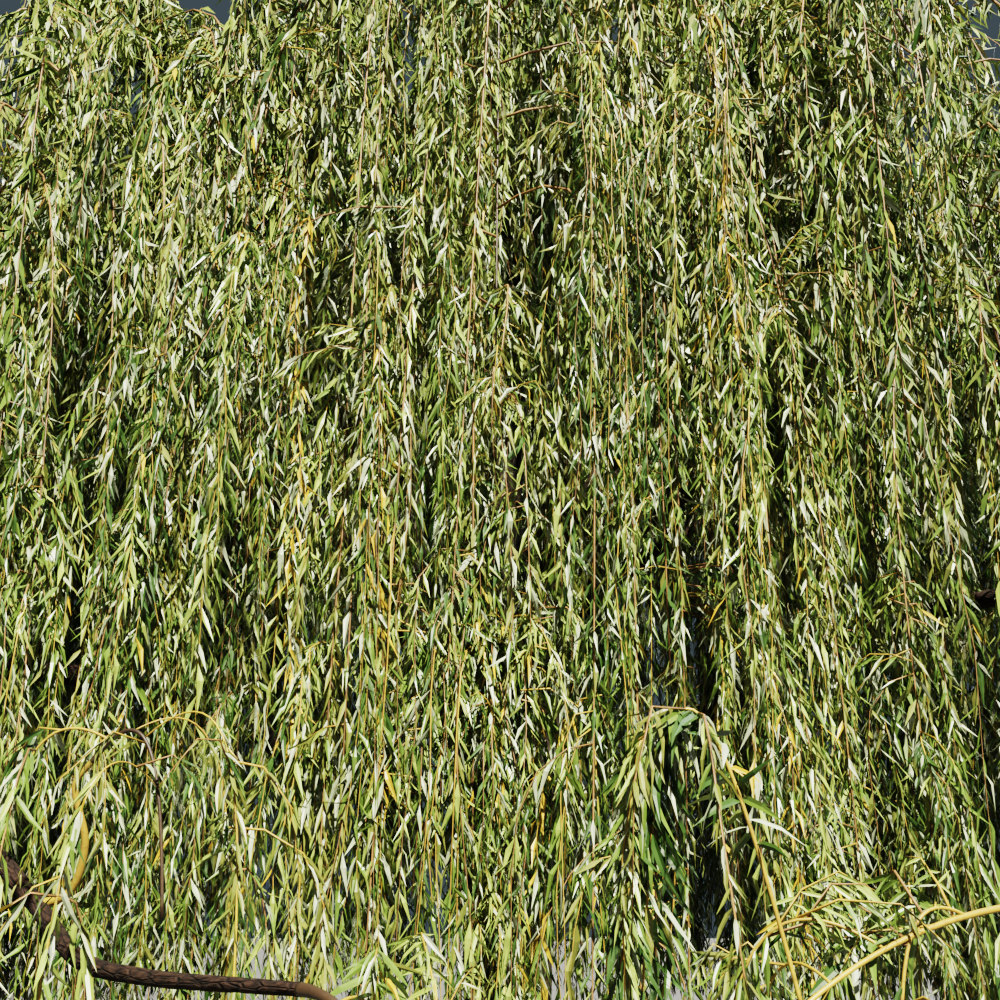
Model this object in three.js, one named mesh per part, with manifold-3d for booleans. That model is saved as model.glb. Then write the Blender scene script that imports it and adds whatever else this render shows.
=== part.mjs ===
// A golden weeping willow: a short leaning trunk with a root flare, limbs that rise from its fork,
// boughs that arch outwards, and masses of hanging shoots. Each mass is a fountain that goes on
// from one bough's tip: a stem that bends over under its own weight, canes that leave the stem,
// shoots that leave the canes, and long narrow leaf sprays along them all.
// Millimetres, +Z up. The origin is the middle of the flat cut under the trunk, and the side
// that the photograph looks at faces -Y.

import * as THREE from "three";
import { mergeVertices } from "three/addons/utils/BufferGeometryUtils.js";
import Module from "manifold-3d";

const wasm = await Module();
wasm.setup();

// Colours of the bark and the leaves
const trunkBark = new THREE.MeshStandardMaterial({ color: 0x5b4a3a, roughness: 0.95 });
const boughBark = new THREE.MeshStandardMaterial({ color: 0x4a382a, roughness: 0.85 });
const foliage = new THREE.MeshStandardMaterial({ color: 0x7f9142, roughness: 0.5 });

const GAP = 0.3; // between pieces that touch on the tree

// The trunk, up to its fork
const TRUNK_HEIGHT = 2120;
const TRUNK_RADIUS = 262; // at breast height
const TRUNK_TOP_RADIUS = 305; // where the limbs swell it
const SWELL_START = 0.55; // share of the height where that begins
const FLARE_RADIUS = 455; // at the ground
const FLARE_DEPTH = 260; // height in which the flare falls to a third
const FLARE_LOBES = 5;
const LOBE_DEPTH = 0.16; // share of the radius
const OVAL_DEPTH = 0.03;
const TRUNK_LEAN = [0.055, 0.017]; // travel along X and Y for each unit of height
const TRUNK_SIDES = 20;
const TRUNK_RINGS = 8;
const TRUNK_CROWDING = 1.35; // how much closer the rings are at the flare

// The leader and the five limbs, each [distance from the trunk's foot, height] in turn
const LEADER = {
  sunk: 1500, knees: [[70, 2620], [190, 4300], [150, 6200], [330, 7500]], tip: [170, 8060],
  turns: [70, 80, 40, 72, 78], radii: [150, 34],
};
const LIMB = { sunk: 1560, knees: [[330, 2380], [760, 3650], [960, 5100]], sweep: 14, radii: [135, 34] };
const BOUGH = { from: 0.34, fromRange: 0.1, knee: 0.45, out: 160, sag: 190, radii: [72, 30] };
const LIMB_SIDES = 7;
const LIMB_TAPER = 0.8;

// The storeys of the crown. ring: distance of a mass's middle from the trunk's foot; tip: that of
// the bough's tip, and its height; run and rise: how the bough's last part points; bend: length
// over which the stem turns down; hem: the lowest that shoots hang; reach: how far canes spread;
// fan: degrees over which they spread, and span: the share of the stem that they leave.
const TOP = { ring: 60, bend: 850, hem: 5200, reach: [480, 880], canes: 7, fan: 360, span: [0.02, 0.42] };
const MIDDLE = {
  count: 5, turn: 306, jitter: 12, ring: 1800, tip: [1560, 7150], tipRange: [0, 420], run: 520, rise: 780,
  bend: 1400, hem: 3700, reach: [450, 1150], canes: 5, fan: 240, span: [0.05, 0.66],
};
const OUTER = {
  count: 9, turn: 270, jitter: 8, ring: 3350, tip: [2680, 5850], tipRange: [240, 620], run: 620, rise: 620,
  bend: 1950, hem: 620, reach: [550, 1600], canes: 5, fan: 240, span: [0.05, 0.66],
};
const LOW = { hem: 420, reach: [150, 380], canes: 4, fan: 240, span: [0.05, 0.66], sprays: 0.45 };
const CROWN_RADIUS = 4350;

// The low boughs that come out through the curtain towards the photograph, in two pieces each
const LOW_LEFT = {
  points: [
    [-620, -1200, 1980], [-1500, -2500, 2400], [-2000, -3500, 2380], [-1980, -4220, 2080],
    [-1238, -4950, 1654], [-1070, -5120, 1549], [-882, -5350, 1446], [-730, -5500, 1427], [-330, -5900, 1432],
  ],
  sunk: 1420, radii: [82, 14],
};
const LOW_RIGHT = {
  points: [
    [800, -1200, 2300], [1750, -2600, 2720], [2200, -3900, 2600], [2020, -4950, 2080],
    [1470, -5690, 1500], [1220, -5790, 1545],
  ],
  sunk: 1700, radii: [70, 13],
};
const SIDE_BRANCH = {
  points: [
    [-1070, -5120, 1549], [-985, -5160, 1580], [-947, -5200, 1682], [-968, -5245, 1815], [-930, -5262, 1862],
  ],
  radii: [11, 7],
};
const LOW_BEND = 0.58; // share of a low bough's length where it is pieced

// The arching shoots beside the low boughs that the photograph shows
const LEFT_SHOOT = { station: 80, azimuth: 180, rise: 30, bend: 300, length: 800 };
const RIGHT_ARCH = { station: 1100, azimuth: 188, rise: 78, bend: 1500, length: 2400 };
const ARCH_RADIUS = 5.5;

// How stems, canes and shoots grow
const CANE_RISE = [12, 48]; // degrees above the level
const CANE_HANG = 0.5; // the highest that a cane ends, as a share of its start above the hem
const SHOOT_RISE = [-15, 35];
const SHOOT_REACH = [110, 320];
const SHOOT_SPAN = [0.12, 0.85]; // share of the cane's length that shoots leave from
const SHOOT_LENGTH = [1200, 3000];
const SHOOTS_PER_CANE = 1;
const STEM_HEM_RANGE = 700;
const SHORTEST = 400; // stem
const REACH_TRIES = [1, 0.88, 0.76, 0.64, 0.52, 0.4, 0.28]; // shares of the wanted reach
const PLUMB_LEAN = 0.05;
const STEM_END_RADIUS = 13;
const CANE_END_RADIUS = 6;
const TIP_RADIUS = 4;
const ROOT_SHARE = 0.48; // radius of a twig's root to that of the wood it grows from
const STEM = { sides: 4, rings: 8 };
const CANE = { sides: 3, rings: 4 };
const SHOOT = { sides: 3, rings: 3 };
const RING_CROWDING = 1.6; // how much closer the rings are where a twig bends

// The leaf sprays: one blade here stands for a spray of leaves
const SPRAY_LENGTH = 1300;
const SPRAY_WIDTH = 260;
const SPRAY_THICKNESS = 22;
const SPRAY_WAIST = 0.5; // share of the length where it is widest
const SPRAY_SIZES = [0.82, 1.18];
const SPRAY_SPACING = 1700;
const SPRAY_SPREAD = 0.47; // how far it leaves the twig's own direction
const FIRST_SPRAY = 260;
const FIRST_SPRAY_ON_STEM = 900;
const LAST_SPRAY = 100; // before the twig's end
const ROOT_LENGTH = 0.16; // share of the blade that may touch its twig

// Space between the parts
const SPACE_MARGIN = 25; // from a mass's twigs to the limit of its space
const LIMB_CLEARANCE = 45; // from twigs and leaves to any limb
const HEM_SLACK = 0.8;
const CHECK_STEP = 60; // between the points that are tested against limbs
const STEM_ROOT_CHECKS = 6; // points at a stem's start that are beside its own bough

const UP = new THREE.Vector3(0, 0, 1);
const DOWN = new THREE.Vector3(0, 0, -1);
const GOLDEN_RATIO = (1 + Math.sqrt(5)) / 2;
const radians = THREE.MathUtils.degToRad;
const degrees = THREE.MathUtils.radToDeg;
const mix = (range, share) => range[0] + (range[1] - range[0]) * share;

// Purposes of a throw of the dice, so that each twig's numbers are its own
const SEED = 20261126;
const TURN = 1;
const HEIGHT = 2;
const OUTWARD = 3;
const RISE = 4;
const REACH = 5;
const END = 6;
const LEAN = 7;
const FACING = 8;
const MIDDLES = 100;
const OUTERS = 200;

// A repeatable number from 0 to 1 for any list of whole numbers.
function dice(...keys) {
  let h = SEED;
  for (const key of keys) {
    h = Math.imul(h ^ (key + 0x9e3779b9), 0x85ebca6b);
    h ^= h >>> 13;
    h = Math.imul(h, 0xc2b2ae35);
    h ^= h >>> 16;
  }
  return (h >>> 0) / 2 ** 32;
}

// A repeatable offset, half the range at most to either side.
const sway = (range, ...keys) => range * (dice(...keys) - 0.5);

// Even spreading: the k-th number of a sequence that fills 0 to 1 ever more finely.
const along = (k) => (0.5 + k * Math.SQRT2) % 1;
const around = (k) => (0.5 + k * GOLDEN_RATIO) % 1;

// A point at an azimuth in degrees (0 towards +X), a distance from the origin and a height.
function at(azimuth, radius, height) {
  const a = radians(azimuth);
  return new THREE.Vector3(radius * Math.cos(a), radius * Math.sin(a), height);
}

const pointing = (azimuth, rise) => at(azimuth, Math.cos(radians(rise)), Math.sin(radians(rise)));
const points = (list) => list.map((p) => new THREE.Vector3(...p));
const trunkAxis = (height) => new THREE.Vector3(TRUNK_LEAN[0] * height, TRUNK_LEAN[1] * height, height);

// A closed three.js geometry as a manifold-3d solid.
function solidOf(geometry) {
  const bare = geometry.clone();
  bare.deleteAttribute("normal");
  bare.deleteAttribute("uv");
  const merged = mergeVertices(bare);
  return new wasm.Manifold(new wasm.Mesh({
    numProp: 3,
    vertProperties: new Float32Array(merged.attributes.position.array),
    triVerts: new Uint32Array(merged.index.array),
  }));
}

// A closed tapering tube through stations of {point, tangent, radius}: a cylinder whose rings
// are moved along the line, each turned as little as possible from the ring before it.
function tube(stations, sides, grown = 0) {
  const last = stations.length - 1;
  const geometry = new THREE.CylinderGeometry(1, 1, 1, sides, last);
  const start = stations[0].tangent;
  let across = start.clone().cross(Math.abs(start.z) < Math.SQRT1_2 ? UP : pointing(0, 0));
  const frames = stations.map(({ tangent }) => {
    across = across.clone().addScaledVector(tangent, -across.dot(tangent)).normalize();
    return { across, over: across.clone().cross(tangent) };
  });
  const position = geometry.attributes.position;
  for (let i = 0; i < position.count; i++) {
    const ring = Math.round((position.getY(i) + 0.5) * last);
    const radius = stations[ring].radius + grown;
    const moved = stations[ring].point.clone()
      .addScaledVector(frames[ring].across, position.getX(i) * radius)
      .addScaledVector(frames[ring].over, position.getZ(i) * radius);
    position.setXYZ(i, moved.x, moved.y, moved.z);
  }
  return solidOf(geometry);
}

// Points at most CHECK_STEP apart along a line of stations, each with its radius.
function finely(stations) {
  return stations.slice(1).flatMap((next, i) => {
    const from = stations[i];
    const steps = Math.ceil(from.point.distanceTo(next.point) / CHECK_STEP);
    return Array.from({ length: steps + 1 }, (_, k) => ({
      point: from.point.clone().lerp(next.point, k / steps),
      radius: mix([from.radius, next.radius], k / steps),
    }));
  });
}

// The trunk: tapering from the flare to breast height and swelling again below the fork, with
// lobes that run out above the flare.
function trunkSolid(grown = 0) {
  const geometry = new THREE.CylinderGeometry(1, 1, 1, TRUNK_SIDES, TRUNK_RINGS);
  const position = geometry.attributes.position;
  for (let i = 0; i < position.count; i++) {
    const share = position.getY(i) + 0.5;
    const height = share ** TRUNK_CROWDING * TRUNK_HEIGHT;
    const flare = Math.exp(-height / FLARE_DEPTH);
    const swell = THREE.MathUtils.smoothstep(height / TRUNK_HEIGHT, SWELL_START, 1);
    const angle = Math.atan2(-position.getZ(i), position.getX(i));
    const lobes = 1 + LOBE_DEPTH * flare * Math.cos(FLARE_LOBES * angle) + OVAL_DEPTH * Math.cos(2 * angle);
    const girth = TRUNK_RADIUS + (FLARE_RADIUS - TRUNK_RADIUS) * flare
      + (TRUNK_TOP_RADIUS - TRUNK_RADIUS) * swell;
    const radius = Math.hypot(position.getX(i), position.getZ(i)) * (girth * lobes + grown);
    const moved = at(degrees(angle), radius, share === 1 ? grown : 0).add(trunkAxis(height));
    position.setXYZ(i, moved.x, moved.y, moved.z);
  }
  return solidOf(geometry);
}

// Every limb of the tree, in the order in which each is cut clear of those before it.
const limbs = [];

// A limb along a curve, tapering between radii. span cuts one piece out of a longer line.
function addLimb(name, line, radii, { sides = LIMB_SIDES, rings = 8, span = [0, 1], after } = {}) {
  const curve = new THREE.CatmullRomCurve3(line, false, "centripetal");
  const stations = Array.from({ length: rings + 1 }, (_, i) => {
    const share = mix(span, i / rings);
    const radius = mix(radii, share ** LIMB_TAPER);
    return { radius, point: curve.getPointAt(share), tangent: curve.getTangentAt(share) };
  });
  if (after) stations[0].point.addScaledVector(stations[0].tangent, GAP);
  const limb = { name, stations, sides, curve, after, tip: stations[rings], checks: finely(stations) };
  limbs.push(limb);
  return limb;
}

// The crown's masses: where each stands, and the limb whose tip its stem goes on from.
const masses = [];

function addMass(name, limb, storey, centre, more = {}) {
  masses.push({ name, limb, ...storey, centre, number: masses.length, low: storey === LOW, ...more });
}

// The leader runs up through the middle, and its tip leans over.
const leader = addLimb("leader", [
  trunkAxis(LEADER.sunk),
  ...[...LEADER.knees, LEADER.tip].map(([radius, height], i) => at(LEADER.turns[i], radius, height)),
], LEADER.radii);
addMass("foliage_top", leader, TOP, at(LEADER.turns[0], TOP.ring, 0));

// The end of a limb or bough: its last two points, of which the first makes it rise and lean out.
function ending(storey, azimuth, radius, height) {
  const tip = at(azimuth, radius, height);
  return [tip.clone().sub(at(azimuth, storey.run, storey.rise)), tip];
}

// Five limbs rise round the leader to the middle storey.
const middles = [];
for (let i = 0; i < MIDDLE.count; i++) {
  const azimuth = MIDDLE.turn + (360 / MIDDLE.count) * i + sway(MIDDLE.jitter, MIDDLES, i, TURN);
  const height = MIDDLE.tip[1] + sway(MIDDLE.tipRange[1], MIDDLES, i, HEIGHT);
  const sweep = sway(LIMB.sweep, MIDDLES, i, LEAN);
  const limb = addLimb(`limb_${i + 1}`, [
    trunkAxis(LIMB.sunk),
    ...LIMB.knees.map(([radius, z], knee) => at(azimuth + [0, sweep, -sweep][knee], radius, z)),
    ...ending(MIDDLE, azimuth, MIDDLE.tip[0], height),
  ], LIMB.radii);
  middles.push({ azimuth, limb });
  addMass(`foliage_middle_${i + 1}`, limb, MIDDLE, at(azimuth, MIDDLE.ring, 0));
}

// Nine boughs leave the limb nearest to each and arch out to the outer storey.
const apart = (a, b) => Math.abs(((a - b + 540) % 360) - 180);
for (let i = 0; i < OUTER.count; i++) {
  const azimuth = OUTER.turn + (360 / OUTER.count) * i + sway(OUTER.jitter, OUTERS, i, TURN);
  const outward = sway(OUTER.tipRange[0], OUTERS, i, OUTWARD);
  const height = OUTER.tip[1] + sway(OUTER.tipRange[1], OUTERS, i, HEIGHT);
  const { limb } = middles.toSorted((a, b) => apart(a.azimuth, azimuth) - apart(b.azimuth, azimuth))[0];
  const fork = limb.curve.getPointAt(BOUGH.from + BOUGH.fromRange * dice(OUTERS, i, END));
  const end = ending(OUTER, azimuth, OUTER.tip[0] + outward, height);
  const knee = fork.clone().lerp(end[1], BOUGH.knee).add(at(azimuth, BOUGH.out, -BOUGH.sag));
  const bough = addLimb(`bough_${i + 1}`, [fork, knee, ...end], BOUGH.radii, { rings: 6 });
  addMass(`foliage_outer_${i + 1}`, bough, OUTER, at(azimuth, OUTER.ring + outward, 0));
}

// The low boughs, each in an inner and an outer piece, and the branch that hooks up from one.
function addLowBough(name, { points: list, sunk, radii }, rings) {
  const line = [trunkAxis(sunk), ...points(list)];
  const inner = addLimb(`${name}_inner`, line, radii, { rings: 6, span: [0, LOW_BEND] });
  return addLimb(`${name}_outer`, line, radii, { rings, span: [LOW_BEND, 1], after: inner });
}
const lowLeft = addLowBough("low_left_bough", LOW_LEFT, 9);
const lowRight = addLowBough("low_right_bough", LOW_RIGHT, 7);
const hooked = points(SIDE_BRANCH.points);
const sideBranch = addLimb("low_left_side_branch", hooked, SIDE_BRANCH.radii, { sides: 6 });
addMass("foliage_low_left", lowLeft, LOW, new THREE.Vector3(-600, -6250, 0), { bend: 330, length: 800 });
addMass("foliage_low_left_upper", sideBranch, LOW, new THREE.Vector3(-1050, -5550, 0), {
  bend: 350, length: 900, canes: 2, given: [LEFT_SHOOT],
});
addMass("foliage_low_right", lowRight, LOW, new THREE.Vector3(900, -6200, 0), {
  bend: 1900, length: 1650, given: [RIGHT_ARCH],
});

// A twig sets out along its heading, and its weight turns it down over the length of its bend.
function twigPoint({ start, heading, plumb, bend }, s) {
  const turned = bend * (1 - Math.exp(-s / bend));
  return start.clone().addScaledVector(heading, turned).addScaledVector(plumb, s - turned);
}

function twigTangent({ heading, plumb, bend }, s) {
  const kept = Math.exp(-s / bend);
  return heading.clone().multiplyScalar(kept).addScaledVector(plumb, 1 - kept).normalize();
}

// Stations along a twig, closer together where it bends.
function stationsOf(twig) {
  return Array.from({ length: twig.rings + 1 }, (_, i) => {
    const s = twig.length * (i / twig.rings) ** RING_CROWDING;
    const radius = mix(twig.radii, s / twig.length);
    return { s, radius, point: twigPoint(twig, s), tangent: twigTangent(twig, s) };
  });
}

// The point at length s in the middle of a twig's wood, which is straight between stations, and
// the radius of a thinner twig that is rooted there.
function rootOn(twig, s) {
  const stations = stationsOf(twig);
  const after = Math.max(1, stations.findIndex((station) => station.s >= s));
  const [a, b] = [stations[after - 1], stations[after]];
  const share = (s - a.s) / (b.s - a.s);
  return {
    point: a.point.clone().lerp(b.point, share),
    radius: Math.max(mix([a.radius, b.radius], share) * ROOT_SHARE, TIP_RADIUS),
  };
}

// How far a point lies inside a mass's own space, which ends halfway to its neighbours.
function depthInSpace(mass, { x, y }) {
  const fromCentre = (x - mass.centre.x) ** 2 + (y - mass.centre.y) ** 2;
  return Math.min(...masses.filter((other) => other !== mass).map(({ centre }) => {
    const fromOther = (x - centre.x) ** 2 + (y - centre.y) ** 2;
    return (fromOther - fromCentre) / (2 * centre.distanceTo(mass.centre));
  }));
}

// True if all points with their radii keep to the mass's space and off the limbs.
function fits(mass, places) {
  return places.every(({ point, radius }) =>
    depthInSpace(mass, point) > SPACE_MARGIN + radius
    && (mass.low || Math.hypot(point.x, point.y) < CROWN_RADIUS - radius)
    && point.z > mass.hem * HEM_SLACK
    && limbs.every((limb) => limb.checks.every((check) =>
      check.point.distanceTo(point) > check.radius + radius + LIMB_CLEARANCE)));
}

// The length with which a twig hangs down to a height.
const lengthTo = (twig, height) => twig.start.z + twig.bend * (1 + twig.heading.z) - height;

// A plumb line that leans slightly, differently for each twig.
function plumbLine(...keys) {
  return DOWN.clone().add(at(360 * dice(...keys, LEAN), PLUMB_LEAN * dice(...keys, FACING), 0)).normalize();
}

// The twig with the widest reach with which it fits, or null.
function fitted(mass, twig) {
  const tries = REACH_TRIES.map((share) => {
    const tried = { ...twig, bend: twig.bend * share };
    tried.length = Math.min(twig.length, Math.max(lengthTo(tried, mass.hem), SHORTEST));
    return tried;
  });
  return tries.find((tried) => fits(mass, finely(stationsOf(tried)))) ?? null;
}

// The stem that goes on from the bough's tip, and hangs to the mass's hem or to just above the
// first limb in its way.
function stemOf(mass) {
  const { tip } = mass.limb;
  const stem = {
    start: tip.point.clone().addScaledVector(tip.tangent, GAP), heading: tip.tangent.clone(),
    plumb: plumbLine(mass.number), bend: mass.bend, radii: [tip.radius, STEM_END_RADIUS], ...STEM,
  };
  stem.radii[1] = Math.min(STEM_END_RADIUS, tip.radius * ROOT_SHARE);
  stem.length = mass.length ?? lengthTo(stem, mass.hem + STEM_HEM_RANGE * dice(mass.number, END));
  while (stem.length > SHORTEST && !fits(mass, finely(stationsOf(stem)).slice(STEM_ROOT_CHECKS))) {
    stem.length -= CHECK_STEP;
  }
  return stem;
}

// The k-th cane of a mass: it leaves the stem within the fan of directions round it.
function caneOf(mass, stem, k) {
  const root = rootOn(stem, stem.length * mix(mass.span, along(k)));
  const stemAzimuth = degrees(Math.atan2(stem.heading.y, stem.heading.x));
  const rise = mix(CANE_RISE, dice(mass.number, k, RISE));
  const cane = {
    start: root.point, heading: pointing(stemAzimuth + mass.fan * (around(k) - 0.5), rise),
    plumb: plumbLine(mass.number, k), radii: [root.radius, CANE_END_RADIUS], ...CANE,
    bend: mix(mass.reach, dice(mass.number, k, REACH)) / Math.cos(radians(rise)),
  };
  const hang = (root.point.z - mass.hem) * CANE_HANG * dice(mass.number, k, END);
  return { ...cane, length: lengthTo(cane, mass.hem + hang) };
}

// A cane that the photograph shows.
function givenCane(stem, { station, azimuth, rise, bend, length }) {
  const start = rootOn(stem, station).point;
  const radii = [ARCH_RADIUS, TIP_RADIUS];
  return { start, heading: pointing(azimuth, rise), plumb: DOWN, bend, length, radii, ...CANE };
}

// The j-th shoot of the k-th cane.
function shootOf(mass, cane, k, j) {
  const root = rootOn(cane, cane.length * mix(SHOOT_SPAN, dice(mass.number, k, j, OUTWARD)));
  const rise = mix(SHOOT_RISE, dice(mass.number, k, j, RISE));
  const shoot = {
    start: root.point, heading: pointing(360 * dice(mass.number, k, j, TURN), rise),
    plumb: plumbLine(mass.number, k, j), radii: [root.radius, TIP_RADIUS], ...SHOOT,
    bend: mix(SHOOT_REACH, dice(mass.number, k, j, REACH)) / Math.cos(radians(rise)),
  };
  const length = mix(SHOOT_LENGTH, dice(mass.number, k, j, END));
  return { ...shoot, length: Math.min(length, lengthTo(shoot, mass.hem)) };
}

// A leaf spray rooted in a twig at length s: a keeled blade of six faces, or null if it would
// leave the mass's space or cross anything that has grown before it.
function spraySolid(mass, grown, twig, s, turn, size) {
  const root = rootOn(twig, s).point;
  const side = pointing(degrees(turn), 0);
  const pointed = twigTangent(twig, s).add(DOWN).addScaledVector(side, 2 * SPRAY_SPREAD).normalize();
  const normal = side.clone().addScaledVector(pointed, -side.dot(pointed)).normalize();
  const across = normal.clone().cross(pointed);
  const length = SPRAY_LENGTH * size;
  const halfWidth = SPRAY_WIDTH / 2 * size;
  const line = [ROOT_LENGTH, 1].map((share) => ({
    point: root.clone().addScaledVector(pointed, length * share), radius: halfWidth,
  }));
  if (!fits(mass, finely(line))) return null;
  const geometry = new THREE.SphereGeometry(1, 3, 2);
  geometry.computeBoundingBox();
  const { min, max } = geometry.boundingBox;
  const position = geometry.attributes.position;
  for (let i = 0; i < position.count; i++) {
    const y = position.getY(i);
    const lengthwise = y > 0 ? mix([SPRAY_WAIST, 1], y) : mix([SPRAY_WAIST, 0], -y);
    const moved = root.clone()
      .addScaledVector(across, position.getZ(i) / max.z * halfWidth)
      .addScaledVector(normal, position.getX(i) / (max.x - min.x) * SPRAY_THICKNESS * size)
      .addScaledVector(pointed, lengthwise * length);
    position.setXYZ(i, moved.x, moved.y, moved.z);
  }
  const blade = solidOf(geometry);
  const beyondRoot = blade.translate(pointed.multiplyScalar(ROOT_LENGTH * length).toArray());
  return grown.intersect(beyondRoot).isEmpty() ? blade : null;
}

// All that grows on one mass's stem, fused.
function massSolid(mass) {
  const stem = stemOf(mass);
  const twigs = [stem];
  const canes = (mass.given ?? []).map((given) => givenCane(stem, given));
  for (let k = 0; k < mass.canes; k++) canes.push(caneOf(mass, stem, k));
  canes.map((cane) => fitted(mass, cane)).forEach((cane, k) => {
    if (!cane) return;
    twigs.push(cane);
    for (let j = 0; j < SHOOTS_PER_CANE; j++) {
      const shoot = fitted(mass, shootOf(mass, cane, k, j));
      if (shoot) twigs.push(shoot);
    }
  });
  let solid = wasm.Manifold.union(twigs.map((twig) => tube(stationsOf(twig), twig.sides)));
  const scale = mass.sprays ?? 1;
  twigs.forEach((twig, n) => {
    const first = twig === stem ? FIRST_SPRAY_ON_STEM : FIRST_SPRAY;
    for (let s = first * scale; s < twig.length - LAST_SPRAY; s += SPRAY_SPACING * scale) {
      const size = scale * mix(SPRAY_SIZES, dice(mass.number, n, Math.round(s), REACH));
      for (let quarter = 0; quarter < 4; quarter++) {
        const turn = 2 * Math.PI * (around(n + Math.round(s / scale)) + quarter / 4);
        const spray = spraySolid(mass, solid, twig, s, turn, size);
        if (!spray) continue;
        solid = solid.add(spray);
        break;
      }
    }
  });
  return solid;
}

// The largest piece of a solid, without scraps that a cut left loose.
const largest = (solid) => solid.decompose().reduce((a, b) => (b.volume() > a.volume() ? b : a));

const willow = new THREE.Group();

function show(name, solid, material) {
  const { vertProperties, triVerts } = solid.getMesh();
  const geometry = new THREE.BufferGeometry();
  geometry.setAttribute("position", new THREE.BufferAttribute(vertProperties, 3));
  geometry.setIndex(new THREE.BufferAttribute(triVerts, 1));
  geometry.computeVertexNormals();
  const mesh = new THREE.Mesh(geometry, material);
  mesh.name = name;
  willow.add(mesh);
}

show("trunk", trunkSolid(), trunkBark);
limbs.forEach((limb, i) => {
  const others = limbs.slice(0, i).filter((other) => other !== limb.after);
  const cutters = [trunkSolid(GAP), ...others.map((other) => tube(other.stations, other.sides, GAP))];
  show(limb.name, largest(tube(limb.stations, limb.sides).subtract(wasm.Manifold.union(cutters))), boughBark);
});
masses.forEach((mass) => show(mass.name, largest(massSolid(mass)), foliage));

export default willow;
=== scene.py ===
# A golden weeping willow, late in summer, seen from just outside its curtain of hanging shoots.
# The wood is put together from the ground up: trunk and limbs, boughs, the low boughs in front,
# then the twigs, which grow by the rule of the part's own source, and the leaves along them.
# Metres, +Z up. The photograph looks at the side that faces -Y.

import math

import bpy
import numpy as np
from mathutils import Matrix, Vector, kdtree, noise


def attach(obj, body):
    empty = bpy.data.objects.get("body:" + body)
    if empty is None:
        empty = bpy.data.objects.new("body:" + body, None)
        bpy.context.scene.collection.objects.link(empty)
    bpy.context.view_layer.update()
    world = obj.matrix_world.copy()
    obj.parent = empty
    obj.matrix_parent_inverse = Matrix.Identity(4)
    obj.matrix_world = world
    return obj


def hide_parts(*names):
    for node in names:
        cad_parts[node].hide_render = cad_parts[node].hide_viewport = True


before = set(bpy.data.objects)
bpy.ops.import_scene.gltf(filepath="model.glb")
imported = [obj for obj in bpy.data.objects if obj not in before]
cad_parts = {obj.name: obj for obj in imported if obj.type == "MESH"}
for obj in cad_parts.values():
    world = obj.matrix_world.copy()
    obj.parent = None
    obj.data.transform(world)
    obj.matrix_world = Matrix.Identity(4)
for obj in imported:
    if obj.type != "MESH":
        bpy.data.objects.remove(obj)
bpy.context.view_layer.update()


# The trunk and limbs: a short leaning bole, living wood under furrowed grey-brown bark, that
# spreads into lobed roots at its foot and forks at head height into a leader and five limbs.
# They are one growth, so their tubes are fused, smoothed at the forks, and then furrowed.
TRUNK_HEIGHT = 2.12
TRUNK_RADIUS = 0.262
TRUNK_TOP_RADIUS = 0.305
SWELL_START = 0.55  # share of the height where the trunk begins to swell below the fork
FLARE_RADIUS = 0.455
FLARE_DEPTH = 0.26
FLARE_LOBES = 5
LOBE_DEPTH = 0.16
OVAL_DEPTH = 0.03
TRUNK_LEAN = (0.055, 0.017)
TRUNK_SIDES = 60
TRUNK_RINGS = 16
TRUNK_CROWDING = 1.35
CROTCH_RINGS = 3  # of the low dome between the limbs
CROTCH_RISE = 0.1


def trunk_axis(height):
    return np.array([TRUNK_LEAN[0] * height, TRUNK_LEAN[1] * height, height])


bpy.ops.mesh.primitive_circle_add(vertices=TRUNK_SIDES, radius=1, fill_type="NGON")
trunk = bpy.context.object
trunk.name = "trunk_and_limbs"
bpy.ops.object.mode_set(mode="EDIT")
for _ in range(TRUNK_RINGS + CROTCH_RINGS):
    bpy.ops.mesh.extrude_region_move(TRANSFORM_OT_translate={"value": (0, 0, 1)})
bpy.ops.object.mode_set(mode="OBJECT")
for corner in trunk.data.vertices:
    ring = round(corner.co.z)
    height = TRUNK_HEIGHT * min(ring / TRUNK_RINGS, 1) ** TRUNK_CROWDING
    dome = max(ring - TRUNK_RINGS, 0) / (CROTCH_RINGS + 1) * math.pi / 2
    angle = math.atan2(corner.co.y, corner.co.x)
    flare = math.exp(-height / FLARE_DEPTH)
    rise = min(max((height / TRUNK_HEIGHT - SWELL_START) / (1 - SWELL_START), 0), 1)
    swell = rise * rise * (3 - 2 * rise)
    lobes = 1 + LOBE_DEPTH * flare * math.cos(FLARE_LOBES * angle) + OVAL_DEPTH * math.cos(2 * angle)
    girth = TRUNK_RADIUS + (FLARE_RADIUS - TRUNK_RADIUS) * flare
    girth = (girth + (TRUNK_TOP_RADIUS - TRUNK_RADIUS) * swell) * lobes * math.cos(dome)
    middle = trunk_axis(height)
    corner.co = (
        middle[0] + girth * math.cos(angle),
        middle[1] + girth * math.sin(angle),
        height + CROTCH_RISE * math.sin(dome),
    )

LIMB_TAPER = 0.8
LINE_STEPS = 120  # places worked out between two given points of a limb
CHECK_STEP = 0.06  # between the places of a limb that twigs are kept clear of


def between(ends, share):
    return ends[0] + (ends[1] - ends[0]) * share


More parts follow.
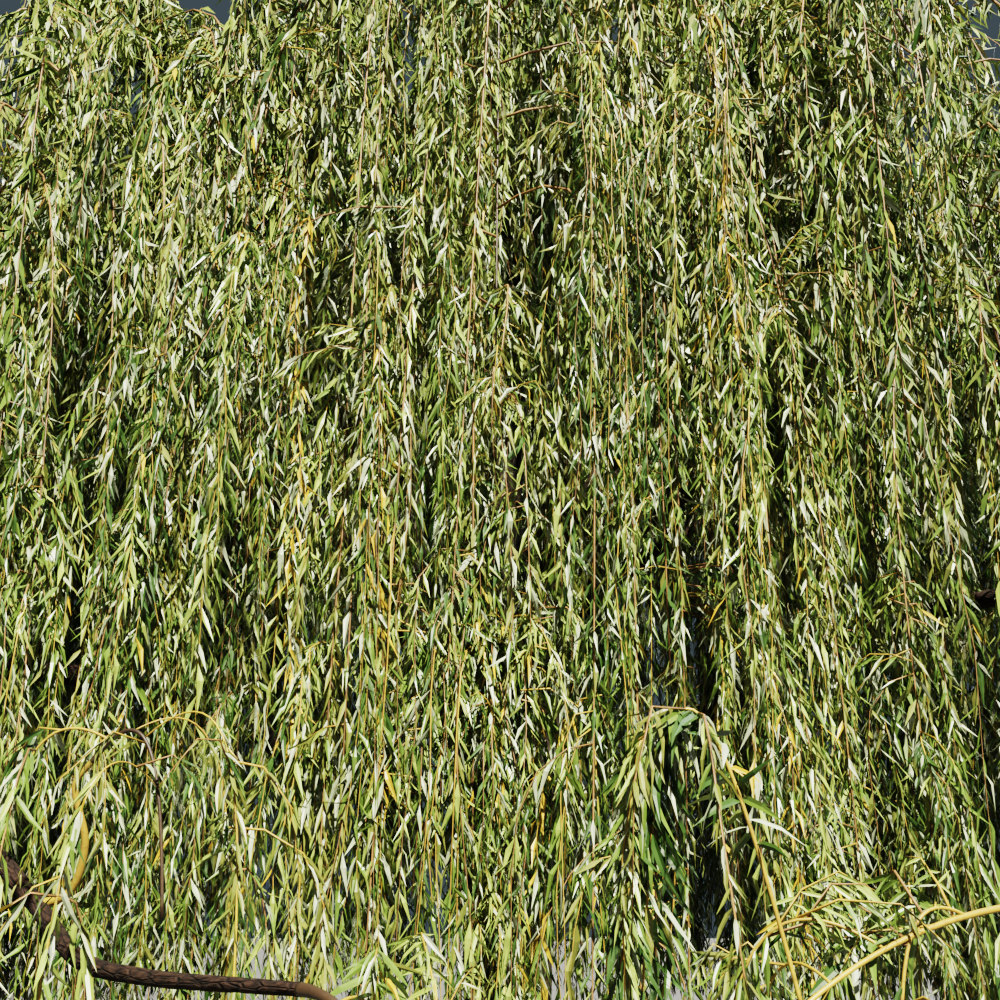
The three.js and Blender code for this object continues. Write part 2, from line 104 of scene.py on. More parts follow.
class Limb:
    """A tapering limb along the smooth line through some points, the same line as in the source."""

    def __init__(self, points, radii, taper=LIMB_TAPER):
        self.girths = radii
        self.taper = taper
        points = np.array(points, float)
        padded = np.vstack([2 * points[0] - points[1], points, 2 * points[-1] - points[-2]])
        shares = np.arange(LINE_STEPS)[:, None] / LINE_STEPS
        parts = []
        for before, start, end, after in zip(padded, padded[1:], padded[2:], padded[3:]):
            a, b, c = (math.dist(*pair) ** 0.5 for pair in ((before, start), (start, end), (end, after)))
            leaving = b * ((start - before) / a - (end - before) / (a + b) + (end - start) / b)
            arriving = b * ((end - start) / b - (after - start) / (b + c) + (after - end) / c)
            square = 3 * (end - start) - 2 * leaving - arriving
            cube = 2 * (start - end) + leaving + arriving
            parts.append(start + leaving * shares + square * shares**2 + cube * shares**3)
        self.line = np.vstack([*parts, points[-1:]])
        steps = np.linalg.norm(np.diff(self.line, axis=0), axis=1)
        self.gone = np.concatenate([[0], np.cumsum(steps)])
        self.length = self.gone[-1]

    def at(self, shares):
        """Places at shares of the limb's length."""
        wanted = np.asarray(shares) * self.length
        return np.stack([np.interp(wanted, self.gone, axis) for axis in self.line.T], axis=-1)

    def radius(self, shares):
        return between(self.girths, np.asarray(shares) ** self.taper)

    def heading(self):
        """The direction in which the limb's tip points."""
        last = self.line[-1] - self.line[-2]
        return last / np.linalg.norm(last)

    def checks(self):
        shares = np.linspace(0, 1, math.ceil(self.length / CHECK_STEP) + 1)
        return np.column_stack([self.at(shares), self.radius(shares)])


# One throw of the dice has a purpose, so that each limb's and twig's numbers are its own.
SEED = 20261126
TURN = 1
HEIGHT = 2
OUTWARD = 3
RISE = 4
REACH = 5
END = 6
LEAN = 7
FACING = 8
MIDDLES = 100
OUTERS = 200
WORD = 0xFFFFFFFF  # the sums are kept to 32 bits


def dice(*keys):
    """A repeatable number from 0 to 1 for any list of whole numbers."""
    h = SEED
    for key in keys:
        h = ((h ^ ((key + 0x9E3779B9) & WORD)) * 0x85EBCA6B) & WORD
        h ^= h >> 13
        h = (h * 0xC2B2AE35) & WORD
        h ^= h >> 16
    return h / (WORD + 1)


def sway(reach, *keys):
    return reach * (dice(*keys) - 0.5)


def compass(azimuth, radius, height):
    """A point at an azimuth in degrees from +X, a distance from the trunk's foot and a height."""
    turn = math.radians(azimuth)
    return np.array([radius * math.cos(turn), radius * math.sin(turn), height])


def ending(azimuth, radius, height, run, rise):
    """A limb's last two points, of which the first makes it rise and lean out."""
    tip = compass(azimuth, radius, height)
    return [tip - compass(azimuth, run, rise), tip]


leader = Limb([
    trunk_axis(1.5), compass(70, 0.07, 2.62), compass(80, 0.19, 4.3), compass(40, 0.15, 6.2),
    compass(72, 0.33, 7.5), compass(78, 0.17, 8.06),
], (0.15, 0.034))
MIDDLE_RING = 1.8  # of the middles of the masses, from the trunk's foot
MIDDLE_TIP = (1.56, 7.15)
MIDDLE_ENDING = (0.52, 0.78)
middle_azimuths = []
middle_limbs = []
for i in range(5):
    azimuth = 306 + 72 * i + sway(12, MIDDLES, i, TURN)
    sweep = sway(14, MIDDLES, i, LEAN)
    tip_height = MIDDLE_TIP[1] + sway(0.42, MIDDLES, i, HEIGHT)
    line = [
        trunk_axis(1.56), compass(azimuth, 0.33, 2.38), compass(azimuth + sweep, 0.76, 3.65),
        compass(azimuth - sweep, 0.96, 5.1), *ending(azimuth, MIDDLE_TIP[0], tip_height, *MIDDLE_ENDING),
    ]
    middle_azimuths.append(azimuth)
    middle_limbs.append(Limb(line, (0.135, 0.034)))


def drawn_limb(name, limb, ring_step, roundness=2, collar=0.0, collar_length=0.2):
    """A limb drawn as a path with a round bevel that tapers with it, made a mesh."""
    shares = np.linspace(0, 1, math.ceil(limb.length / ring_step) + 1)
    swelling = 1 + collar * np.exp(-shares * limb.length / collar_length)
    bpy.ops.curve.primitive_nurbs_path_add(location=(0, 0, 0))
    drawn = bpy.context.object
    drawn.name = name
    drawn.data.splines.clear()
    path = drawn.data.splines.new("POLY")
    path.points.add(len(shares) - 1)
    path.points.foreach_set("co", np.column_stack([limb.at(shares), np.ones(len(shares))]).ravel())
    path.points.foreach_set("radius", limb.radius(shares) * swelling)
    drawn.data.bevel_depth = 1
    drawn.data.bevel_resolution = roundness
    drawn.data.use_fill_caps = True
    bpy.ops.object.convert(target="MESH")
    return bpy.context.object


def joined(name, objects):
    """Several objects as one."""
    bpy.ops.object.select_all(action="DESELECT")
    for each in objects:
        each.select_set(True)
    bpy.context.view_layer.objects.active = objects[0]
    bpy.ops.object.join()
    bpy.context.object.name = name
    return bpy.context.object


trunk = joined("trunk_and_limbs", [
    trunk, *[drawn_limb("limb", limb, 0.15) for limb in (leader, *middle_limbs)],
])
bpy.ops.object.modifier_add(type="REMESH")
trunk.modifiers["Remesh"].mode = "VOXEL"
trunk.modifiers["Remesh"].voxel_size = 0.0165
bpy.ops.object.modifier_apply(modifier="Remesh")
bpy.ops.object.modifier_add(type="SMOOTH")
trunk.modifiers["Smooth"].iterations = 8
trunk.modifiers["Smooth"].factor = 0.5
bpy.ops.object.modifier_apply(modifier="Smooth")


SIDEWAYS = Vector((0.35, -0.2, 0.92))  # no limb runs this way, so it gives each one its sides
WANDER = (0.3, 0.3, 0.25)  # how often the furrows stray from their course, for one plate
FURROW_WIDTH = 0.2  # in plates
FURROW_SHARE = 0.7  # of the relief
ROUGHNESS_SHARE = 0.3
ROUGHNESS_SCALE = 2.7


def unit(ways):
    return ways / np.linalg.norm(ways, axis=-1, keepdims=True)


def furrow(piece, limbs, pitch, stretch, depth_share, most, upright=False):
    """Cuts long bark furrows into a piece, deeper where its wood is thick. They run along its limbs,
    or straight up. Their depth is kept as the attribute "furrow" and the place in the bark's grain
    as the attribute "grain"."""
    wood = []
    for limb in limbs:
        checks = limb.checks()
        ways = unit(np.gradient(checks[:, :3], axis=0))
        wood.append(np.column_stack([checks, ways, np.linspace(0, limb.length, len(checks))]))
    wood = np.vstack(wood)
    tree = kdtree.KDTree(len(wood))
    for row, place in enumerate(wood):
        tree.insert(place[:3], row)
    tree.balance()
    mesh = piece.data
    count = len(mesh.vertices)
    places = np.empty((count, 3))
    mesh.vertices.foreach_get("co", places.ravel())
    normals = np.empty((count, 3))
    mesh.vertex_normals.foreach_get("vector", normals.ravel())
    depths = np.empty(count)
    cuts = np.empty(count)
    grains = places.copy()
    for row, place in enumerate(places):
        near_wood = wood[tree.find(place)[1]]
        if not upright:
            off = Vector(place - near_wood[:3])
            way = Vector(near_wood[4:7])
            side = way.cross(SIDEWAYS).normalized()
            grains[row] = (off.dot(side), off.dot(way.cross(side)), near_wood[7] + off.dot(way))
        x, y, z = grains[row] / pitch
        bend = noise.noise((x * WANDER[0], y * WANDER[1], z * WANDER[2]))
        spot = Vector((x + bend, y - bend, z / stretch + 0.5 * bend))
        near, next_near = noise.voronoi(spot)[0][:2]
        cut = math.exp(-(((next_near - near) / FURROW_WIDTH) ** 2))
        relief = FURROW_SHARE * cut - ROUGHNESS_SHARE * noise.noise(spot * ROUGHNESS_SCALE)
        depths[row] = min(near_wood[3] * depth_share, most) * relief
        cuts[row] = cut
    places -= normals * depths[:, None]
    mesh.vertices.foreach_set("co", places.ravel())
    mesh.attributes.new("furrow", "FLOAT", "POINT").data.foreach_set("value", cuts)
    mesh.attributes.new("grain", "FLOAT_VECTOR", "POINT").data.foreach_set("vector", grains.ravel())
    mesh.update()


bole = Limb([trunk_axis(height) for height in (0, 1, TRUNK_HEIGHT)], (TRUNK_RADIUS, TRUNK_RADIUS))
trunk_limbs = [bole, leader, *middle_limbs]
furrow(trunk, trunk_limbs, pitch=0.062, stretch=5, depth_share=0.085, most=0.022, upright=True)
SOLE = 0.014  # what is this close to the ground after smoothing is the flat cut under the trunk
for corner in trunk.data.vertices:
    if corner.co.z < SOLE:
        corner.co.z = 0


class Tone:
    """One output of a material's nodes. Sums written on it add Math nodes."""

    def __init__(self, tree, socket=None):
        self.tree = tree
        self.socket = socket

    def node(self, kind, settings=None, inputs=None, output=0):
        """Any other node: its settings are set first, then the values or links of its inputs."""
        made = self.tree.nodes.new("ShaderNode" + kind)
        for name, value in (settings or {}).items():
            setattr(made, name, value)
        for name, value in (inputs or {}).items():
            if isinstance(value, Tone):
                self.tree.links.new(value.socket, made.inputs[name])
            else:
                made.inputs[name].default_value = value
        return Tone(self.tree, made.outputs[output])

    def sum(self, operation, first, second):
        return self.node("Math", {"operation": operation}, {0: first, 1: second})

    def __add__(self, other):
        return self.sum("ADD", self, other)

    def __sub__(self, other):
        return self.sum("SUBTRACT", self, other)

    def __rsub__(self, other):
        return self.sum("SUBTRACT", other, self)

    def __mul__(self, other):
        return self.sum("MULTIPLY", self, other)

    __radd__ = __add__
    __rmul__ = __mul__

    def spots(self, scale, detail):
        """Soft random spots at this output's place."""
        return self.node("TexNoise", None, {"Vector": self, "Scale": scale, "Detail": detail})

    def ranged(self, low, high):
        """0 at a low value, 1 at a high one."""
        return self.node("MapRange", None, {"Value": self, "From Min": low, "From Max": high})

    def clamped(self):
        return self.node("Clamp", None, {"Value": self})

    def blend(self, first, second):
        """A colour between two, by this output's value."""
        inputs = {0: self, 6: first, 7: second}
        return self.node("Mix", {"data_type": "RGBA"}, inputs, output=2)


def paint(code):
    """A shader's colour for a colour code such as 7F9142."""
    shades = [int(code[i:i + 2], 16) / 255 for i in (0, 2, 4)]
    return (*[s / 12.92 if s <= 0.04045 else ((s + 0.055) / 1.055) ** 2.4 for s in shades], 1)


def new_finish(name):
    """A new material with its shader, and the object's coordinates for its patterns."""
    material = bpy.data.materials.new(name)
    material.use_nodes = True
    tree = material.node_tree
    shader = tree.nodes["Principled BSDF"]
    place = Tone(tree).node("TexCoord", output="Object")
    return material, shader, place


def lay(tone, shader, socket):
    tone.tree.links.new(tone.socket, shader.inputs[socket])


def emboss(relief, shader, strength, distance):
    inputs = {"Strength": strength, "Distance": distance, "Height": relief}
    lay(relief.node("Bump", None, inputs, "Normal"), shader, "Normal")


def bark_finish(name, ridge, face, crack, lichen, grain):
    """Bark: pale worn ridges, darker faces, almost black cracks, and grey-green lichen in patches.
    grain is the number of plates in a metre."""
    material, shader, place = new_finish(name)
    along = place.node("Attribute", {"attribute_name": "grain"}, output="Vector")
    drawn_out = place.node("Mapping", None, {"Vector": along, "Scale": (1, 1, 0.22)})
    plates = place.node("TexVoronoi", {"feature": "DISTANCE_TO_EDGE"}, {"Vector": drawn_out, "Scale": grain})
    fibres = drawn_out.spots(grain * 3, 6.0)
    furrows = place.node("Attribute", {"attribute_name": "furrow"}, output="Fac")
    seams = 1 - plates.ranged(0, 0.12)
    grown = place.spots(2.3, 5.0).ranged(0.52, 0.68)
    colour = fibres.ranged(0.35, 0.7).blend(paint(face), paint(ridge))
    colour = (grown * 0.55).blend(colour, paint(lichen))
    colour = (seams * 0.5 + furrows * 0.75).clamped().blend(colour, paint(crack))
    lay(colour, shader, "Base Color")
    lay(0.78 + fibres * 0.2, shader, "Roughness")
    emboss(fibres * 0.5 - seams * 0.6 - furrows * 0.3, shader, 0.7, 0.01)
    shader.inputs["Specular IOR Level"].default_value = 0.25
    return material


def dress(piece, finish):
    """Gives the selected piece smooth shading and its finish."""
    bpy.ops.object.shade_smooth()
    piece.data.materials.clear()
    piece.data.materials.append(finish)


dress(trunk, bark_finish("furrowed_bark", "655A4C", "473D34", "140F0C", "5C5F4A", 22))
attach(trunk, "root")
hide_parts("trunk", "leader", *[f"limb_{i + 1}" for i in range(5)])


# The boughs: nine younger limbs, smoother and browner, that fork from the five and arch out to
# the curtain. Each is swollen at its collar, where it leaves the older wood.
OUTER_RING = 3.35
OUTER_TIP = (2.68, 5.85)
OUTER_ENDING = (0.62, 0.62)
BOUGH_KNEE = 0.45  # share of the way from the fork to the last bend
BOUGH_OUT = 0.16
BOUGH_SAG = 0.19


def apart(first, second):
    return abs((first - second + 540) % 360 - 180)


outer_azimuths = []
outer_shifts = []
outer_boughs = []
for i in range(9):
    azimuth = 270 + 40 * i + sway(8, OUTERS, i, TURN)
    shift = sway(0.24, OUTERS, i, OUTWARD)
    tip_height = OUTER_TIP[1] + sway(0.62, OUTERS, i, HEIGHT)
    nearest = min(range(5), key=lambda limb: apart(middle_azimuths[limb], azimuth))
    fork = middle_limbs[nearest].at(0.34 + 0.1 * dice(OUTERS, i, END))
    end = ending(azimuth, OUTER_TIP[0] + shift, tip_height, *OUTER_ENDING)
    knee = fork + (end[1] - fork) * BOUGH_KNEE + compass(azimuth, BOUGH_OUT, -BOUGH_SAG)
    outer_azimuths.append(azimuth)
    outer_shifts.append(shift)
    outer_boughs.append(Limb([fork, knee, *end], (0.072, 0.03)))
boughs = joined("boughs", [
    drawn_limb("bough", limb, 0.035, roundness=3, collar=0.35) for limb in outer_boughs
])
furrow(boughs, outer_boughs, pitch=0.04, stretch=3, depth_share=0.09, most=0.008)
dress(boughs, bark_finish("young_bark", "584938", "3B2D20", "1C140E", "505339", 45))
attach(boughs, "root")
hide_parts(*[f"bough_{i + 1}" for i in range(9)])


# The low boughs: two long thin limbs that leave the trunk below its fork, arch out through the
# curtain and come forward in the photograph's lower corners, one with a small hooked branch.
# Their bark is dark brown and fissured, with the scars of old twigs.
LOW_TAPER = 1.0  # they keep more of their girth than the limbs above
low_left = Limb([
    trunk_axis(1.42), (-0.62, -1.2, 1.98), (-1.5, -2.5, 2.4), (-2.0, -3.5, 2.38),
    (-1.98, -4.22, 2.08), (-1.238, -4.95, 1.654), (-1.07, -5.12, 1.549), (-0.882, -5.35, 1.446),
    (-0.73, -5.5, 1.427), (-0.33, -5.9, 1.432),
], (0.082, 0.012), LOW_TAPER)
low_right = Limb([
    trunk_axis(1.7), (0.8, -1.2, 2.3), (1.75, -2.6, 2.72), (2.2, -3.9, 2.6),
    (2.02, -4.95, 2.08), (1.47, -5.69, 1.5), (1.22, -5.79, 1.545),
], (0.07, 0.012), LOW_TAPER)
side_branch = Limb([
    (-1.07, -5.12, 1.549), (-0.985, -5.16, 1.58), (-0.947, -5.2, 1.682),
    (-0.968, -5.245, 1.815), (-0.93, -5.262, 1.862),
], (0.011, 0.007))
low_boughs = joined("low_boughs", [
    drawn_limb("low_bough", limb, 0.012, roundness=3, collar=0.3) for limb in (low_left, low_right)
])
furrow(low_boughs, (low_left, low_right), pitch=0.011, stretch=6, depth_share=0.1, most=0.003)
dress(low_boughs, bark_finish("dark_bark", "3B2A20", "21160F", "0C0705", "2E2A1C", 70))
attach(low_boughs, "root")
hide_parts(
    "low_left_bough_inner", "low_left_bough_outer", "low_right_bough_inner",
    "low_right_bough_outer",
)


# The small branch that hooks up from the left one: a twig of some years, golden where it is young.
hooked = drawn_limb("side_branch", side_branch, 0.006, collar=0.4, collar_length=0.02)


def twig_finish(name, young, old, knots):
    """Smooth waxy twig bark: it changes between two colours along the tree and has darker knots."""
    material, shader, place = new_finish(name)
    share = place.spots(3.0, 3.0).ranged(0.35, 0.65)
    specks = place.spots(70.0, 3.0)
    dark = specks.ranged(0.55, 0.75)
    lay((dark * 0.7).blend(share.blend(paint(young), paint(old)), paint(knots)), shader, "Base Color")
    lay(0.38 + specks * 0.25, shader, "Roughness")
    emboss(specks, shader, 0.3, 0.002)
    return material


golden_bark = twig_finish("golden_bark", "A88C3E", "8C6E30", "5E4822")
dress(hooked, golden_bark)
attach(hooked, "root")
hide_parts("low_left_side_branch")


# The twigs: from each limb's tip a stem goes on and bends over under its own weight, canes leave
# the stem, and golden shoots leave the canes and hang to the hem. The first canes and shoots are
# the source's own, and the same rule goes on to many more.
masses = []
# In each storey: the bend of its stems, the height of its hem, the reach of its canes, the fan of
# directions and the span of the stem that they leave in, how many of them are the source's own, and
# how many canes and crest canes, and shoots and sprigs on each, grow here.
MIDDLE = {
    "bend": 1.4, "hem": 3.7, "reach": (0.45, 1.15), "fan": 240, "span": (0.05, 0.66), "own": 5,
    "canes": 12, "crest": 6, "shoots": 16, "sprigs": 5,
}
TOP = {
    **MIDDLE, "bend": 0.85, "hem": 5.2, "reach": (0.48, 0.88), "fan": 360, "span": (0.02, 0.42),
    "own": 7, "canes": 15, "crest": 0,
}
OUTER = {**MIDDLE, "bend": 1.95, "hem": 0.62, "reach": (0.55, 1.6), "canes": 24, "crest": 8, "shoots": 17}
LOW = {
    **MIDDLE, "hem": 0.42, "reach": (0.15, 0.38), "own": 4, "canes": 5, "crest": 0, "shoots": 4,
    "sprigs": 3,
}


def add_mass(name, limb, storey, centre, **more):
    number = len(masses)
    masses.append({
        "name": name, "limb": limb, **storey, "centre": np.array(centre[:2]), "number": number,
        "low": storey is LOW, "growth": np.random.default_rng([SEED, number]), "front": {}, "behind": {},
        **more,
    })


add_mass("foliage_top", leader, TOP, compass(70, 0.06, 0))
for i in range(5):
    centre = compass(middle_azimuths[i], MIDDLE_RING, 0)
    add_mass(f"foliage_middle_{i + 1}", middle_limbs[i], MIDDLE, centre)
for i in range(9):
    centre = compass(outer_azimuths[i], OUTER_RING + outer_shifts[i], 0)
    add_mass(f"foliage_outer_{i + 1}", outer_boughs[i], OUTER, centre)
add_mass("foliage_low_left", low_left, LOW, (-0.6, -6.25), bend=0.33, length=0.8)
add_mass(
    "foliage_low_left_upper", side_branch, LOW, (-1.05, -5.55), bend=0.35, length=0.9,
    canes=3, shoots=3, sprigs=1,
    given=[{"station": 0.08, "azimuth": 180, "rise": 30, "bend": 0.3, "length": 0.8}],
)
add_mass(
    "foliage_low_right", low_right, LOW, (0.9, -6.2), bend=1.9, length=1.65, shoots=6, sprigs=4,
    given=[{"station": 1.1, "azimuth": 188, "rise": 78, "bend": 1.5, "length": 2.4}],
)

FRONT = {6, 7, 14}  # the outer masses before the photograph's eye, by number
FRONT_CREST = 18
for number in FRONT:
    masses[number]["crest"] = FRONT_CREST
# In the middle of the picture a tier of golden shoots arches out over the rest. For each: the height
# where it leaves the stem, azimuth, rise, bend and length, and how many shoots a full one bears.
SHOWN = ("height", "azimuth", "rise", "bend", "length", "shoots")
masses[6]["tier"] = [dict(zip(SHOWN, shown)) for shown in (
    (2.4, 236, 42, 0.95, 1.7), (2.48, 252, 50, 0.85, 1.5), (2.3, 222, 50, 0.85, 1.6),
    (2.46, 304, 42, 0.95, 1.7), (2.36, 288, 50, 0.9, 1.6), (2.42, 320, 48, 0.85, 1.7),
    (2.28, 270, 45, 0.8, 1.4), (3.9, 276, 25, 0.5, 2.2, 8), (3.4, 290, 30, 0.4, 1.6, 6),
)]
# At the picture's upper corners young canes stand up over the older ones before they arch over.
YOUNG_CANE = {"rise": 72, "bend": 2.8, "length": 2.6, "shoots": 9}
YOUNG_CANE_START = 0.25  # metres along the stem
YOUNG_CANE_SPACING = 0.12
for number, azimuths in ((14, (150, 190, 225, 260, 120, 175, 205)), (7, (290, 330, 10, 250, 350, 315))):
    masses[number]["tier"] = [
        {"station": YOUNG_CANE_START + YOUNG_CANE_SPACING * k, "azimuth": azimuth, **YOUNG_CANE}
        for k, azimuth in enumerate(azimuths)
    ]
# Behind, long canes to both sides close the gaps between one mass and the next.
SIDE_CANE = {"rise": 35, "bend": 1.55, "length": 4.2, "shoots": 10}
SIDE_CANE_STATIONS = (0.5, 1.3)
SIDEWARD = 88  # degrees from a mass's own direction to its neighbours
BACK_CANES = 22
for number in range(8, 14):
    masses[number]["canes"] = BACK_CANES
    masses[number]["tier"] = [
        {"station": station, "azimuth": outer_azimuths[number - 6] + side, **SIDE_CANE}
        for station in SIDE_CANE_STATIONS for side in (-SIDEWARD, SIDEWARD)
    ]

all_limbs = [*trunk_limbs, *outer_boughs, low_left, low_right, side_branch]
all_wood = np.vstack([limb.checks() for limb in all_limbs])
NEAR_WOOD = 0.6  # wood further than this outside a mass's space is no concern of its twigs


def depth_in_space(mass, places):
    """How far places lie inside a mass's own space, which ends halfway to its neighbours."""
    flat = places[:, :2]
    own = ((flat - mass["centre"]) ** 2).sum(1)
    others = ((flat[:, None] - mass["others"]) ** 2).sum(2)
    return ((others - own[:, None]) / mass["apart"]).min(1)


for mass in masses:
    mass["others"] = np.array([other["centre"] for other in masses if other is not mass])
    mass["apart"] = 2 * np.linalg.norm(mass["others"] - mass["centre"], axis=1)
    mass["wood"] = all_wood[depth_in_space(mass, all_wood) > -NEAR_WOOD]

CROWN_RADIUS = 4.35
CROWN_TOP = 8.6
HEM_SLACK = 0.8  # share of the hem's height below which nothing hangs


def clear(mass, places, girths, margin=0.025, clearance=0.045):
    """Which places, with their girths, keep to the mass's space and off the limbs."""
    good = depth_in_space(mass, places) > margin + girths
    if not mass["low"]:
        good &= np.hypot(places[:, 0], places[:, 1]) < CROWN_RADIUS - girths
    good &= (places[:, 2] > mass["hem"] * HEM_SLACK) & (places[:, 2] < CROWN_TOP)
    wood = mass["wood"]
    if len(wood):
        squares = (places**2).sum(1)[:, None] + (wood[:, :3] ** 2).sum(1) - 2 * places @ wood[:, :3].T
        gaps = np.sqrt(np.maximum(squares, 0)) - wood[:, 3]
        good &= gaps.min(1) > girths + clearance
    return good


DOWN = np.array([0.0, 0.0, -1.0])
PLUMB_LEAN = 0.05


def pointing(azimuth, rise):
    return compass(azimuth, math.cos(math.radians(rise)), math.sin(math.radians(rise)))


def plumb_line(*keys):
    """The way that a twig's weight pulls it: down, with a slight lean of its own."""
    leaning = DOWN + compass(360 * dice(*keys, LEAN), PLUMB_LEAN * dice(*keys, FACING), 0)
    return leaning / np.linalg.norm(leaning)


def place_on(twig, lengths):
    """A twig sets out along its heading, and its weight turns it down over its bend."""
    lengths = np.atleast_1d(lengths)
    turned = twig["bend"] * (1 - np.exp(-lengths / twig["bend"]))
    return twig["start"] + np.outer(turned, twig["heading"]) + np.outer(lengths - turned, twig["plumb"])


def length_to(twig, height):
    """The length with which a twig hangs down to a height."""
    return twig["start"][2] + twig["bend"] * (1 + twig["heading"][2]) - height


def twig_clear(mass, twig, skipped=0):
    lengths = np.linspace(0, twig["length"], math.ceil(twig["length"] / CHECK_STEP) + 1)[skipped:]
    girths = between(twig["radii"], lengths / twig["length"])
    return clear(mass, place_on(twig, lengths), girths).all()


SHORTEST = 0.4
REACH_TRIES = (1, 0.88, 0.76, 0.64, 0.52, 0.4, 0.28)


def fitted(mass, twig):
    """The twig with the widest reach with which it keeps to the mass's space, or None."""
    for share in REACH_TRIES:
        tried = {**twig, "bend": twig["bend"] * share}
        tried["length"] = min(twig["length"], max(length_to(tried, mass["hem"]), SHORTEST))
        if twig_clear(mass, tried):
            return tried
    return None


GAP = 0.0003  # between a limb's tip and its stem, as between the solids
STEM_END_RADIUS = 0.013
ROOT_SHARE = 0.48  # of the girth of what it leaves, a twig's own at its root
STEM_HEM_RANGE = 0.7
STEM_ROOT_CHECKS = 6  # places at a stem's root that are near its own limb


def stem_of(mass):
    limb = mass["limb"]
    heading = limb.heading()
    stem = {
        "start": limb.at(1) + heading * GAP, "heading": heading, "plumb": plumb_line(mass["number"]),
        "bend": mass["bend"],
        "radii": (limb.girths[1], min(STEM_END_RADIUS, limb.girths[1] * ROOT_SHARE)),
    }
    hem = mass["hem"] + STEM_HEM_RANGE * dice(mass["number"], END)
    stem["length"] = mass.get("length") or length_to(stem, hem)
    while stem["length"] > SHORTEST and not twig_clear(mass, stem, STEM_ROOT_CHECKS):
        stem["length"] -= CHECK_STEP
    return stem


CANE_RISE = (12, 48)
CANE_HANG = 0.5
CANE_END_RADIUS = 0.003
SIDE_FAN = (50, 115)  # degrees to either side, of the canes after the source's own
SIDE_REACH = (0.7, 2.0)
GOLDEN_RATIO = (1 + math.sqrt(5)) / 2


def cane_of(mass, stem, k):
    """The k-th cane of a mass: it leaves the stem within the fan of directions round it, or to one
    side where the fans of neighbouring masses meet."""
    number = mass["number"]
    own = k < mass["own"] or k % 2 == 0 or mass["fan"] == 360 or mass["low"]
    station = stem["length"] * between(mass["span"], (0.5 + k * math.sqrt(2)) % 1)
    azimuth = math.degrees(math.atan2(stem["heading"][1], stem["heading"][0]))
    turn = (0.5 + k * GOLDEN_RATIO) % 1 - 0.5
    azimuth += mass["fan"] * turn if own else math.copysign(between(SIDE_FAN, 2 * abs(turn)), turn)
    rise = between(CANE_RISE, dice(number, k, RISE))
    reach = between(mass["reach"] if own else SIDE_REACH, dice(number, k, REACH))
    start = place_on(stem, station)[0]
    girth = between(stem["radii"], station / stem["length"]) * ROOT_SHARE
    cane = {
        "start": start, "heading": pointing(azimuth, rise), "plumb": plumb_line(number, k),
        "bend": reach / math.cos(math.radians(rise)), "radii": (girth, CANE_END_RADIUS),
    }
    hang = (start[2] - mass["hem"]) * CANE_HANG * dice(number, k, END)
    return {**cane, "length": length_to(cane, mass["hem"] + hang)}


CREST_KEY = 300  # the number of the first cane on a mass's crest
CREST_SPAN = (0.05, 1.2)  # metres of the stem, where it first arches over
CREST_RISE = (25, 70)
CREST_REACH = (0.25, 0.85)
CREST_HANG = (0.5, 2.2)
CREST_ROOT_RADIUS = 0.009


def crest_of(mass, stem, k):
    """The k-th of the canes that stand up round the top of a stem and arch over on all sides."""
    keys = (mass["number"], CREST_KEY + k)
    station = between(CREST_SPAN, dice(*keys, OUTWARD))
    rise = between(CREST_RISE, dice(*keys, RISE))
    start = place_on(stem, station)[0]
    cane = {
        "start": start, "heading": pointing(360 * GOLDEN_RATIO * k, rise), "plumb": plumb_line(*keys),
        "bend": between(CREST_REACH, dice(*keys, REACH)) / math.cos(math.radians(rise)),
        "radii": (CREST_ROOT_RADIUS, CANE_END_RADIUS),
    }
    return {**cane, "length": length_to(cane, start[2] - between(CREST_HANG, dice(*keys, END)))}


SHOWN_RADII = (0.0055, 0.002)


def given_cane(stem, shown):
    """A cane that the photograph shows, at a station along the stem or at a height."""
    station = shown.get("station") or length_to(stem, shown["height"])
    return {
        "start": place_on(stem, station)[0], "plumb": DOWN,
        "heading": pointing(shown["azimuth"], shown["rise"]), "bend": shown["bend"],
        "length": shown["length"], "radii": SHOWN_RADII,
    }


SHOOT_REACH = (0.11, 0.32)
FINER_SHOOT_REACH = (0.11, 0.5)  # of the shoots after the source's own, which spread wider
SHOOT_ROOT_RADIUS = 0.0032
TIP_RADIUS = 0.001
OWN_SHOOTS = 1  # of a cane, in the source
ROPE = 4  # shoots in a rope
ROPE_KEY = 700
ROPE_SPACING = 0.05
ROPE_SPREAD = (90, 0.5)  # of the shoots in one: degrees, and share of their bend
FRONT_ROPE_SPREAD = (45, 0.35)  # in the photograph's view they hang closer together
HEM_ROPES = 3  # one rope of so many leaves the lower part of the cane
HEM_ROPE_SPAN = (0.55, 0.97)
SPRIG_KEY = 500  # the first number of a cane's sprigs


